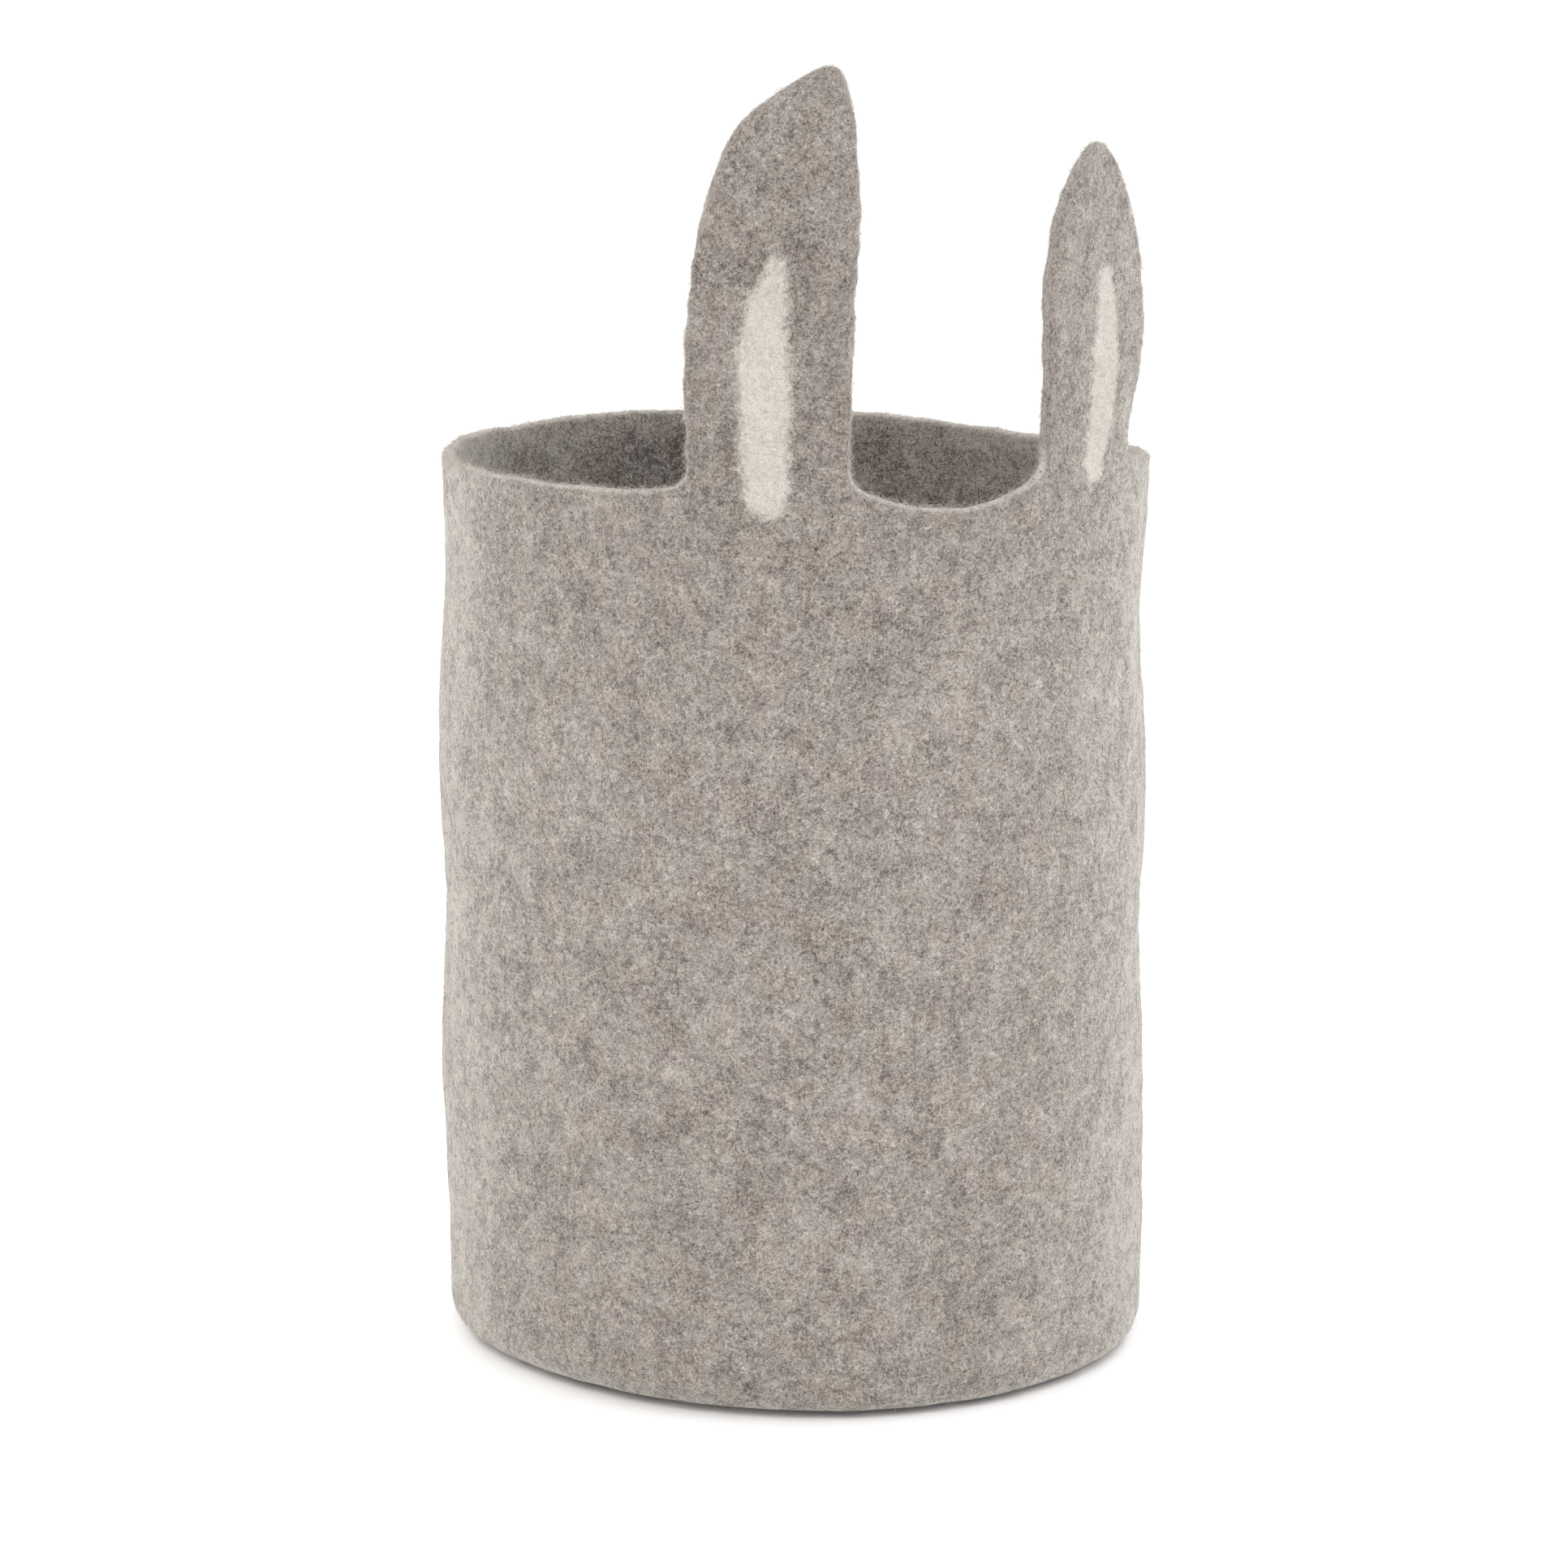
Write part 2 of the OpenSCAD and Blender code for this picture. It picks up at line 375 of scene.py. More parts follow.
def ear_rows(side):
    """Heights of an ear's rows, close together at its tip, and the tip's height."""
    tip = EAR_LEFT_EDGE[side][:, 1].max()
    fine = np.array([0.02, 0.12, 0.35, 0.7, 1.2, 1.8, 2.5, 3.4, 4.5])
    return np.concatenate([np.arange(SEAM_Z, tip - 5.6, 1.5), (tip - fine)[::-1]]), tip


def ear_grid(side):
    """Columns and rows of an ear: s and z of every point, and its tip."""
    rows, tip = ear_rows(side)
    left, right = EAR_LEFT_EDGE[side], EAR_RIGHT_EDGE[side]
    s = []
    for z in rows:
        a, b = np.interp(z, left[:, 1], left[:, 0]), np.interp(z, right[:, 1], right[:, 0])
        s.append(a + ear_columns(b - a))
    s = np.array(s)
    return s, np.repeat(rows[:, None], s.shape[1], 1), (left[-1, 0], tip)


def wall_columns():
    """Every column round the wall, with the ears' own columns where they stand."""
    parts, ears = [], {}
    at = -TURN / 2
    feet = (("left", LEFT_SLOPE[-1, 0], VALLEY[0, 0]), ("right", VALLEY[-1, 0], RIGHT_SLOPE[0, 0]))
    for side, low, high in feet:
        parts.append(np.linspace(at, low - 12, max(2, int((low - 12 - at) / 3)), endpoint=False))
        parts.append(np.linspace(low - 12, low, 16, endpoint=False))
        first = sum(map(len, parts))
        own = low + ear_columns(high - low)
        parts.append(own[:-1])
        ears[side] = np.arange(first, first + len(own))
        parts.append(np.linspace(high, high + 12, 16, endpoint=False))
        at = high + 12
    parts.append(np.linspace(at, TURN / 2, int((TURN / 2 - at) / 3), endpoint=False))
    return np.concatenate(parts), ears


class Shape:
    """Vertices and faces being gathered, with the values that the materials read."""

    def __init__(self):
        self.points, self.faces, self.uz, self.inside = [], [], [], []
        self.count = 0

    def add(self, points, u, z, inside=0.0):
        n = points[..., 0].size
        self.inside.append(np.full(n, inside))
        self.points.append(points.reshape(-1, 3))
        self.uz.append(np.stack([np.broadcast_to(u, z.shape), z], -1).reshape(-1, 2))
        first = self.count
        self.count += n
        return np.arange(first, first + n).reshape(z.shape)

    def quads(self, a, b, c, d):
        self.faces.append(np.stack([x.ravel() for x in (a, b, c, d)], 1))

    def strip(self, grid, closed=False):
        """Quads between neighbours of a grid of vertex numbers, rows by columns."""
        right = np.roll(grid, -1, 1) if closed else grid[:, 1:]
        left = grid if closed else grid[:, :-1]
        self.quads(left[:-1], right[:-1], right[1:], left[1:])


def make_shell():
    """The whole felt as one closed surface, and the last face of each piece: wall, left ear, right ear."""
    shape, piece_ends = Shape(), []
    columns, ears = wall_columns()
    top = rim_height(columns)
    for side in ears:
        top[ears[side]] = SEAM_Z

    def end_piece():
        piece_ends.append(sum(map(len, shape.faces)))

    def rows_up(step, first):
        low = np.arange(first, LEVEL_ROWS_TOP, step)
        share = np.linspace(0, 1, int(28 / min(step, 3.5)) + 1)
        upper = low[-1] + step + (top[None] - EDGE_STEPS[-1] - low[-1] - step) * share[:, None]
        edge = top[None] - EDGE_STEPS[-2::-1, None]
        return np.vstack([np.repeat(low[:, None], len(columns), 1), upper, edge])

    z_out, z_in = rows_up(3.4, CORNER_R + 4), rows_up(8.0, FELT + CORNER_R + 6)
    u_out, u_in = np.broadcast_to(columns, z_out.shape), np.broadcast_to(columns, z_in.shape)
    outer = wall_point(u_out, z_out, half_thickness(u_out, z_out))
    inner = wall_point(u_in, z_in, -half_thickness(u_in, z_in))
    out_ids = shape.add(outer, u_out, z_out)
    in_ids = shape.add(inner, u_in, z_in, 1.0)

    # underside and rounded corner outside, floor and rounder corner inside
    def bowl(radius, corner, floor_z, lift):
        a = columns / OUT_R
        highest = np.minimum(math.radians(84), np.arccos(np.clip(1 - CORNER_TOP / corner, -1, 1)))
        turn = np.linspace(0, 1, 8)[:, None] * highest
        flat_r = np.linspace(0.02, 0.92, 7)[:, None] * (radius - corner)
        r = np.vstack([flat_r, radius - corner + corner * np.sin(turn)])
        z = np.vstack([np.full(flat_r.shape, floor_z), floor_z + corner * (1 - np.cos(turn))])
        flat = np.stack([r * np.sin(a), -r * np.cos(a), z], -1)
        rr = r + (wall_offset(a[None], z) + BROAD_SIZE * uneven(flat, BROAD)) * (r / radius) ** 2
        spread = (r / (radius - corner)).clip(0, 1) ** 2
        raised = z + lift * (1 - spread) + 0.12 * uneven(flat, LUMPS)
        if floor_z == 0:
            raised = raised + edge_lift(a) * spread * np.clip(1 - z / CORNER_TOP, 0, 1)
        at = np.stack([rr * np.sin(a), -rr * np.cos(a), np.maximum(raised, 0.02)], -1)
        within = float(floor_z > 0)
        ids = shape.add(at, np.broadcast_to(columns, z.shape), z, within)
        centre = np.array([[[0, 0, floor_z + lift]]], float)
        middle = shape.add(centre, np.zeros((1, 1)), np.full((1, 1), floor_z), within)
        return ids, middle[0, 0]

    out_low, out_mid = bowl(OUT_R, corner_radius(columns / OUT_R), 0.0, 0.0)
    in_low, in_mid = bowl(OUT_R - FELT, np.full(len(columns), CORNER_R + 2), FELT, 0.8)

    shape.strip(np.vstack([out_low, out_ids]), closed=True)
    flip = np.vstack([in_low, in_ids])[:, ::-1]
    shape.strip(flip, closed=True)
    end_piece()
    n = len(columns)
    fan = []
    for i in range(n):
        j = (i + 1) % n
        fan += [(out_mid, out_low[0, j], out_low[0, i]), (in_mid, in_low[0, i], in_low[0, j])]
    fans = np.array(fan)

    ear_ids = {}
    for side in ears:
        s, z, (tip_s, tip_z) = ear_grid(side)
        u = s + EAR_U[side]
        half = half_thickness(u, z)
        rows, cols = s.shape
        o = np.empty((rows, cols), int)
        i = np.empty((rows, cols), int)
        o[0], i[0] = out_ids[-1, ears[side]], in_ids[-1, ears[side]]
        o[1:] = shape.add(ear_point(side, s, z, half)[1:], u[1:], z[1:])
        i[1:] = shape.add(ear_point(side, s, z, -half)[1:], u[1:], z[1:], 1.0)
        tip_at = ear_point(side, np.array([[tip_s]]), np.array([[tip_z]]), np.zeros((1, 1)))
        tip = shape.add(tip_at, np.array([[tip_s + EAR_U[side]]]), np.array([[tip_z]]))[0, 0]
        shape.strip(o)
        shape.strip(i[:, ::-1])
        end_piece()
        ear_ids[side] = (o, i, tip)
    return shape, piece_ends, fans, columns, ears, out_ids, in_ids, ear_ids


shell, piece_ends, fans, columns, ears, out_ids, in_ids, ear_ids = make_shell()
points = np.vstack(shell.points)
unrolled = np.vstack(shell.uz)
inner_side = np.concatenate(shell.inside)

# the outer and inner surface meet along the free edge: those vertices become one
same = np.arange(len(points))
free = np.ones(len(columns), bool)
for side in ears:
    free[ears[side][1:-1]] = False
same[in_ids[-1, free]] = out_ids[-1, free]
for side, (o, i, _) in ear_ids.items():
    same[i[1:, 0]] = o[1:, 0]
    same[i[1:, -1]] = o[1:, -1]

quads = same[np.vstack(shell.faces)]
piece_of = np.repeat(np.arange(len(piece_ends)), np.diff([0] + piece_ends))
tris, tri_piece = [fans], [np.zeros(len(fans), int)]
for k, (side, (o, i, tip)) in enumerate(ear_ids.items(), 1):
    for row, turn in ((same[o[-1]], 1), (same[i[-1]], -1)):
        t = np.stack([row[:-1], row[1:], np.full(len(row) - 1, tip)], 1)
        tris.append(t if turn > 0 else t[:, [1, 0, 2]])
        tri_piece.append(np.full(len(t), k))
tris, tri_piece = same[np.vstack(tris)], np.concatenate(tri_piece)


def smooth_normals(points, quads, tris):
    """One normal for each vertex of the whole felt, so that no seam shows between its pieces."""
    normals = np.zeros_like(points)
    p, q = points[quads], points[tris]
    across_quads = np.cross(p[:, 2] - p[:, 0], p[:, 3] - p[:, 1])
    across_tris = -np.cross(q[:, 2] - q[:, 0], q[:, 1] - q[:, 0])
    for faces, across in ((quads, across_quads), (tris, across_tris)):
        for corner in faces.T:
            np.add.at(normals, corner, across)
    return normals / np.maximum(np.linalg.norm(normals, axis=1), 1e-12)[:, None]


normals = smooth_normals(points, quads, tris)


NO_PATCH, EDGE_FAR = -12.0, 12.0


def patch_depth(unrolled):
    """How far inside a white patch each point lies, in millimetres; below zero outside."""
    depth = np.full(len(unrolled), NO_PATCH)
    for side in ears:
        local = unrolled - (EAR_U[side], 0)
        near = (np.abs(local[:, 0]) < 40) & (local[:, 1] > PATCH_LOW_Z)
        d = line_distance(local[near], PATCH[side])
        depth[near] = np.maximum(depth[near], np.where(inside_loop(local[near], PATCH[side]), d, -d))
    return depth


def edge_depth(unrolled):
    """Millimetres from the free edge. Ears count as a little farther, so less of the pale edge, part fuzz and
    part painted highlight, shows there.
    """
    depth = np.full(len(unrolled), EDGE_FAR)
    high = unrolled[:, 1] > EDGE_LOW_Z
    on_ear = smooth((unrolled[high, 1] - SEAM_Z) / 10)
    depth[high] = np.minimum(line_distance(unrolled[high], EDGE) + 1.3 * on_ear, EDGE_FAR)
    return depth


# Where the painted shade on the inner surface is darkest, and how far round it spreads
DARKEST_ANGLE, DARKEST_SPREAD = 172, 28  # degrees from the front


def inside_painted_light_and_shade(unrolled, inner_side):
    """Painted shade and light on the inner surface: about 1 where the painted shade is darkest, below zero
    where painted light makes it paler, palest by the rim, and 0 outside.
    """
    u, z = unrolled.T
    turn = (np.degrees(u / OUT_R) - DARKEST_ANGLE + 180) % 360 - 180
    painted_shade_by_angle = -0.6 + 1.66 * np.exp(-((turn / DARKEST_SPREAD) ** 2))
    by_rim = np.zeros(len(u))
    high = (inner_side > 0) & (z > EDGE_LOW_Z)
    by_rim[high] = 1 - smooth(line_distance(unrolled[high], EDGE) / 17)
    # painted light, paler along the rim inside
    painted_light_by_rim = -1.8 * (1 - smooth((z - RIM_Z + 4) / 10))
    return inner_side * (1 - smooth((z - SEAM_Z) / 40)) * (painted_shade_by_angle + (painted_light_by_rim - painted_shade_by_angle) * by_rim)


def make_object(name, points, faces, attributes, normals=None, material=None):
    """A mesh object from millimetre points, which also stores where they are at rest, for its material."""
    mesh = bpy.data.meshes.new(name)
    mesh.from_pydata((points * MM).tolist(), [], faces)
    mesh.update()
    rest = mesh.attributes.new("rest", "FLOAT_VECTOR", "POINT")
    rest.data.foreach_set("vector", (points * MM).astype(np.float32).ravel())
    for key, values in attributes.items():
        mesh.attributes.new(key, "FLOAT", "POINT").data.foreach_set("value", np.asarray(values, np.float32))
    mesh.polygons.foreach_set("use_smooth", [True] * len(mesh.polygons))
    if normals is not None:
        mesh.normals_split_custom_set_from_vertices(normals.tolist())
    obj = bpy.data.objects.new(name, mesh)
    bpy.context.scene.collection.objects.link(obj)
    if material:
        mesh.materials.append(material)
    return obj


# ---- Materials ----
class Nodes:
    """A short way to write node trees."""

    def __init__(self, name):
        self.material = bpy.data.materials.new(name)
        self.material.use_nodes = True
        self.tree = self.material.node_tree
        self.shader = self.tree.nodes["Principled BSDF"]

    def put(self, socket, value):
        if isinstance(value, bpy.types.NodeSocket):
            self.tree.links.new(value, socket)
        elif value is not None:
            socket.default_value = value

    def node(self, kind, inputs=None, **settings):
        n = self.tree.nodes.new(kind)
        for key, value in settings.items():
            setattr(n, key, value)
        for key, value in (inputs or {}).items():
            self.put(n.inputs[key], value)
        return n

    def attribute(self, name, output="Fac"):
        return self.node("ShaderNodeAttribute", attribute_name=name).outputs[output]

    def math(self, operation, a, b=None, c=None):
        n = self.node("ShaderNodeMath", operation=operation)
        for i, value in enumerate((a, b, c)):
            self.put(n.inputs[i], value)
        return n.outputs[0]

    def vector(self, operation, a, b):
        n = self.node("ShaderNodeVectorMath", operation=operation)
        self.put(n.inputs[0], a)
        self.put(n.inputs[1], b)
        return n.outputs[0]

    def noise(self, where, per_metre, detail=2.0, rough=0.5, distortion=0.0, shift=(0, 0, 0)):
        moved = self.vector("ADD", where, shift)
        sockets = {"Vector": moved, "Scale": per_metre, "Detail": detail, "Roughness": rough}
        return self.node("ShaderNodeTexNoise", {**sockets, "Distortion": distortion}).outputs["Fac"]

    def ramp(self, value, *stops):
        n = self.node("ShaderNodeValToRGB", {"Fac": value})
        ramp = n.color_ramp
        while len(ramp.elements) < len(stops):
            ramp.elements.new(0.5)
        for element, (position, colour) in zip(ramp.elements, stops):
            element.position, element.color = position, (*colour, 1)
        return n.outputs["Color"]

    def range(self, value, low, high, to_low=0.0, to_high=1.0):
        sockets = {"Value": value, "From Min": low, "From Max": high, "To Min": to_low, "To Max": to_high}
        n = self.node("ShaderNodeMapRange", sockets, clamp=True, interpolation_type="SMOOTHSTEP")
        return n.outputs["Result"]

    def mix(self, factor, a, b, blend="MIX"):
        n = self.node("ShaderNodeMix", data_type="RGBA", blend_type=blend)
        for socket, value in zip((n.inputs[0], n.inputs[6], n.inputs[7]), (factor, a, b)):
            self.put(socket, (*value, 1) if isinstance(value, tuple) and len(value) == 3 else value)
        return n.outputs[2]

    def curls(self, where, per_metre, width, shift, wander):
        """Thin curly lines, as wool fibres draw on felt: 1 on a line, 0 off it. They come and go."""
        moved = self.vector("ADD", where, shift)
        field = self.noise(moved, per_metre, detail=1.0, distortion=wander)
        line = self.range(self.math("ABSOLUTE", self.math("SUBTRACT", field, 0.5)), 0.0, width, 1.0, 0.0)
        shown = self.range(self.noise(moved, per_metre * 0.8, detail=1.0, shift=(7.7, 1.3, 4.1)), 0.46, 0.60)
        return self.math("MULTIPLY", line, shown)


# The wool's own tones, from its darkest fibres to its palest
WOOL_TONES = (
    (0.118, 0.100, 0.091), (0.258, 0.225, 0.205), (0.426, 0.377, 0.338),
    (0.592, 0.537, 0.486), (0.77, 0.72, 0.665),
)
TONE_STOPS = (0.12, 0.33, 0.52, 0.72, 0.95)
CREAM_TONES = ((0.62, 0.565, 0.49), (0.765, 0.71, 0.63), (0.85, 0.80, 0.725))
# Pale colour for the free edge, part fuzz and part painted highlight, and for surfaces turned away from the
# view, painted sheen
EDGE_FLUFF_AND_SHEEN = (0.875, 0.82, 0.75)
# EAR_SHADE darkens the felt over the ears' middle heights: painted shade
EAR_SHADE = (0.88, 0.87, 0.87)
# Melange layers: features per metre, detail, distortion and how strongly each one tells
MELANGE = (
    (1250, 2.0, 0.9, 1.42), (560, 1.5, 0.7, 0.70), (260, 1.5, 0.5, 0.50),
    (95, 2.0, 0.0, 0.40), (38, 1.0, 0.0, 0.22),
)


def felt_material(name):
    """Wet-felted wool melange. Where the patch value says so, cream wool lies in it with a feathered edge."""
    n = Nodes(name)
    where = n.attribute("rest", "Vector")
    layers = [
        n.noise(where, scale, detail, 0.6, bend, shift=(1.9 * i, 0.7 * i, 3.3 * i))
        for i, (scale, detail, bend, _) in enumerate(MELANGE)
    ]
    # inside carries painted shade on the inner surface, and painted light by its rim; it darkens or pales the
    # tone below
    inside = n.attribute("inside")
    change = 0.0
    for layer, (_, _, _, amount) in zip(layers, MELANGE):
        change = n.math("MULTIPLY_ADD", n.math("SUBTRACT", layer, 0.5), amount, change)
    facing = n.node("ShaderNodeLayerWeight", {"Blend": 0.5}).outputs["Facing"]
    # Fibre contrast rises where the surface turns away from the view, as painted fibre self-shadow, and is
    # higher again on the inner surface
    contrast = n.range(n.math("ABSOLUTE", inside), 0.0, 0.1, n.range(facing, 0.1, 0.7, 1.0, 1.45), 1.6)
    tone = n.math("MULTIPLY_ADD", change, contrast, n.math("MULTIPLY_ADD", inside, -0.16, 0.51))
    grey = n.ramp(tone, *zip(TONE_STOPS, WOOL_TONES))
    warm = n.range(n.noise(where, 55, 2.0, 0.6, shift=(3.1, 1.7, 0.4)), 0.42, 0.62)
    cool = n.range(n.noise(where, 80, 2.0, 0.6, shift=(8.1, 6.7, 1.4)), 0.44, 0.66)
    grey = n.mix(warm, grey, n.mix(1.0, grey, (1.015, 0.98, 0.955), "MULTIPLY"))
    grey = n.mix(cool, grey, n.mix(1.0, grey, (0.985, 0.985, 1.02), "MULTIPLY"))
    # Darker over the ears' middle heights: painted shade
    level = n.node("ShaderNodeSeparateXYZ", {"Vector": where}).outputs["Z"]
    shaded = n.math("MULTIPLY", n.range(level, 0.28, 0.42), n.range(level, 0.46, 0.54, 1.0, 0.2))
    grey = n.mix(shaded, grey, n.mix(1.0, grey, EAR_SHADE, "MULTIPLY"))
    fine = n.curls(where, 420, 0.030, (0.31, 0.0, 0.17), 0.8)
    long = n.curls(where, 170, 0.012, (1.3, 2.1, 0.2), 1.2)
    dark = n.curls(where, 330, 0.026, (5.2, 0.7, 1.9), 0.8)
    grey = n.mix(n.math("MULTIPLY", dark, 0.45), grey, WOOL_TONES[0])
    grey = n.mix(n.math("MULTIPLY", n.math("MAXIMUM", fine, long), 0.5), grey, WOOL_TONES[4])
    # Paler near the free edge: part fuzz, part painted highlight. Paler where the surface turns away from the
    # view: painted sheen.
    by_edge = n.range(n.attribute("edge"), 0.2, 2.0, 1.0, 0.0)
    fuzz_and_highlight = n.math("MULTIPLY", by_edge, n.range(tone, 0.2, 0.6, 0.35, 1.0))
    painted_grazing_sheen = n.math("MULTIPLY", n.range(facing, 0.28, 0.95, 0.0, 0.68), n.range(tone, 0.2, 0.7, 0.3, 1.2))
    grey = n.mix(n.math("MAXIMUM", fuzz_and_highlight, painted_grazing_sheen), grey, EDGE_FLUFF_AND_SHEEN)

    stretched = n.vector("MULTIPLY", where, (1.0, 1.0, 3.0))
    crease = n.curls(stretched, 60, 0.022, (0.6, 3.3, 0.8), 0.4)
    cream_tone = n.math("MULTIPLY_ADD", n.math("SUBTRACT", tone, 0.5), 0.9, 0.55)
    cream = n.ramp(cream_tone, *zip((0.2, 0.5, 0.85), CREAM_TONES))
    cream = n.mix(n.math("MULTIPLY", dark, 0.16), cream, WOOL_TONES[1])
    cream = n.mix(n.math("MULTIPLY", crease, 0.25), cream, WOOL_TONES[3])
    feather = n.math("ADD", n.math("MULTIPLY", layers[0], 3.6), n.math("MULTIPLY", layers[2], 4.4))
    feather = n.math("MULTIPLY_ADD", layers[3], 4.6, feather)
    depth = n.math("ADD", n.math("SUBTRACT", feather, 6.3), n.attribute("patch"))
    cover = n.range(depth, -2.6, 3.0)
    colour = n.mix(cover, grey, cream)

    relief = n.math("MULTIPLY_ADD", n.math("MAXIMUM", fine, long), 0.3, tone)
    relief = n.math("SUBTRACT", relief, n.math("MULTIPLY", n.math("MULTIPLY", crease, cover), 0.3))
    bump = n.node("ShaderNodeBump", {"Height": relief, "Strength": 1.0, "Distance": 0.0007})
    n.put(n.shader.inputs["Normal"], bump.outputs["Normal"])
    n.put(n.shader.inputs["Base Color"], colour)
    n.put(n.shader.inputs["Roughness"], 0.95)
    n.put(n.shader.inputs["Specular IOR Level"], 0.1)
    n.put(n.shader.inputs["Sheen Weight"], 0.5)
    n.put(n.shader.inputs["Sheen Roughness"], 0.4)
    n.put(n.shader.inputs["Sheen Tint"], (1.0, 0.975, 0.94, 1))
    return n.material


def fibre_material():
    """Loose single fibres. Their tone runs from dark brown-grey to nearly white."""
    n = Nodes("loose_wool_fibres")
    stops = (0.0, WOOL_TONES[0]), (0.25, WOOL_TONES[1]), (0.6, (0.62, 0.57, 0.52)), (1.0, (0.84, 0.80, 0.74))
    colour = n.ramp(n.attribute("tone"), *stops)
    streak = n.range(n.noise(n.attribute("rest", "Vector"), 900, detail=1.0), 0.3, 0.7, 0.0, 0.35)
    colour = n.mix(streak, colour, n.mix(1.0, colour, (0.7, 0.68, 0.66), "MULTIPLY"))
    n.put(n.shader.inputs["Base Color"], colour)
    n.put(n.shader.inputs["Roughness"], 0.8)
    n.put(n.shader.inputs["Specular IOR Level"], 0.2)
    n.put(n.shader.inputs["Sheen Weight"], 0.3)
    return n.material


felt = felt_material("grey_felt_melange")
white_wool = felt_material("cream_wool_over_felt")
fibre_look = fibre_material()


# ---- The felt shell, cut into its pieces at the two folds ----
def cap_faces(upper, lower, flip):
    """Faces that close the felt's cut at a fold; it is inside the felt and never seen."""
    faces = []
    for a, b, c, d in zip(upper[:-1], upper[1:], lower[1:], lower[:-1]):
        ring = [a, b, c, d] if not flip else [d, c, b, a]
        faces.append(list(dict.fromkeys(ring)))
    return [f for f in faces if len(f) > 2]


def shell_piece(k, name, caps):
    """Piece k of the felt as its own object, with the vertices it uses."""
    faces = [list(dict.fromkeys(f)) for f in quads[piece_of == k].tolist()]
    faces += tris[tri_piece == k].tolist() + caps
    faces = [f for f in faces if len(f) > 2]
    used = np.unique(np.concatenate([np.array(f) for f in faces]))
    number = np.full(len(points), -1)
    number[used] = np.arange(len(used))
    at, inner = unrolled[used], inner_side[used]
    patch = np.where(inner > 0, NO_PATCH, patch_depth(at))
    values = {"patch": patch, "edge": edge_depth(at), "inside": inside_painted_light_and_shade(at, inner)}
    own_faces = [[int(number[v]) for v in f] for f in faces]
    return make_object(name, points[used], own_faces, values, normals[used], felt)


cuts = {side: (same[o[0]], same[i[0]]) for side, (o, i, _) in ear_ids.items()}
wall_caps = [f for side in cuts for f in cap_faces(*cuts[side], flip=False)]
felt_wall = shell_piece(0, "felt_wall", wall_caps)
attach(felt_wall, "basket")
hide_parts("basket_wall", "basket_base")


def over_fold(obj):
    """Bakes the piece's placement into its mesh."""
    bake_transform(obj)


for k, side in enumerate(cuts, 1):
    ear = shell_piece(k, "felt_ear_" + side, cap_faces(*cuts[side], flip=True))
    over_fold(ear)
    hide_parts("ear_" + side)


# ---- White wool patches: thin pads that lie on the ear and run out under its surface at their edge ----
PAD_GROW, PAD_PROUD, PAD_SINK, PAD_DEPTH = 3.0, 0.35, 0.30, 1.2
PAD_ROWS, PAD_COLUMNS = 96, 26


def white_patch(side):
    loop = PATCH[side]
    low, high = loop[:, 1].min(), loop[:, 1].max()
    t = (1 - np.cos(np.linspace(0.04, math.pi - 0.04, PAD_ROWS))) / 2
    z_rows = low - PAD_GROW + (high - low + 2 * PAD_GROW) * t
    s_rows = []
    across = (1 - np.cos(np.linspace(0, math.pi, PAD_COLUMNS))) / 2
    for z in z_rows:
        zz = min(max(z, low + 0.15), high - 0.15)
        a, b = loop[:-1], loop[1:]
        hit = (a[:, 1] > zz) != (b[:, 1] > zz)
        cross = a[hit, 0] + (zz - a[hit, 1]) / (b[hit, 1] - a[hit, 1]) * (b[hit, 0] - a[hit, 0])
        beyond = max(low - z, z - high, 0) / PAD_GROW
        grow = PAD_GROW * math.sqrt(max(0.0, 1 - beyond**2))
        s_rows.append(cross.min() - grow + (cross.max() - cross.min() + 2 * grow) * across)
    s, z = np.array(s_rows), np.repeat(z_rows[:, None], PAD_COLUMNS, 1)
    u = s + EAR_U[side]
    flat = np.stack([u, z], -1).reshape(-1, 2)
    depth = patch_depth(flat).reshape(s.shape)
    rise = -PAD_SINK + (PAD_PROUD + PAD_SINK) * smooth((depth + PAD_GROW) / 6.5)
    half = half_thickness(u, z)

    def at(n):
        below, above = wall_point(u, z, n), ear_point(side, s, z, n)
        return np.where((z < SEAM_Z)[..., None], below, above)

    shape = Shape()
    front = shape.add(at(half + rise), u, z)
    back = shape.add(at(half - PAD_DEPTH), u, z)
    shape.strip(front)
    shape.strip(back[:, ::-1])
    shape.quads(front[:-1, 0], front[1:, 0], back[1:, 0], back[:-1, 0])
    shape.quads(front[1:, -1], front[:-1, -1], back[:-1, -1], back[1:, -1])
    shape.quads(front[0, 1:], front[0, :-1], back[0, :-1], back[0, 1:])
    shape.quads(front[-1, :-1], front[-1, 1:], back[-1, 1:], back[-1, :-1])
    xyz, uz = np.vstack(shape.points), np.vstack(shape.uz)
    values = {"patch": patch_depth(uz), "edge": edge_depth(uz), "inside": np.zeros(len(uz))}
    name = "inner_ear_" + side + "_wool"
    pad = make_object(name, xyz, np.vstack(shape.faces).tolist(), values, material=white_wool)
    over_fold(pad)
    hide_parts("inner_ear_" + side, "inner_ear_root_" + side)


for side in ears:
    white_patch(side)


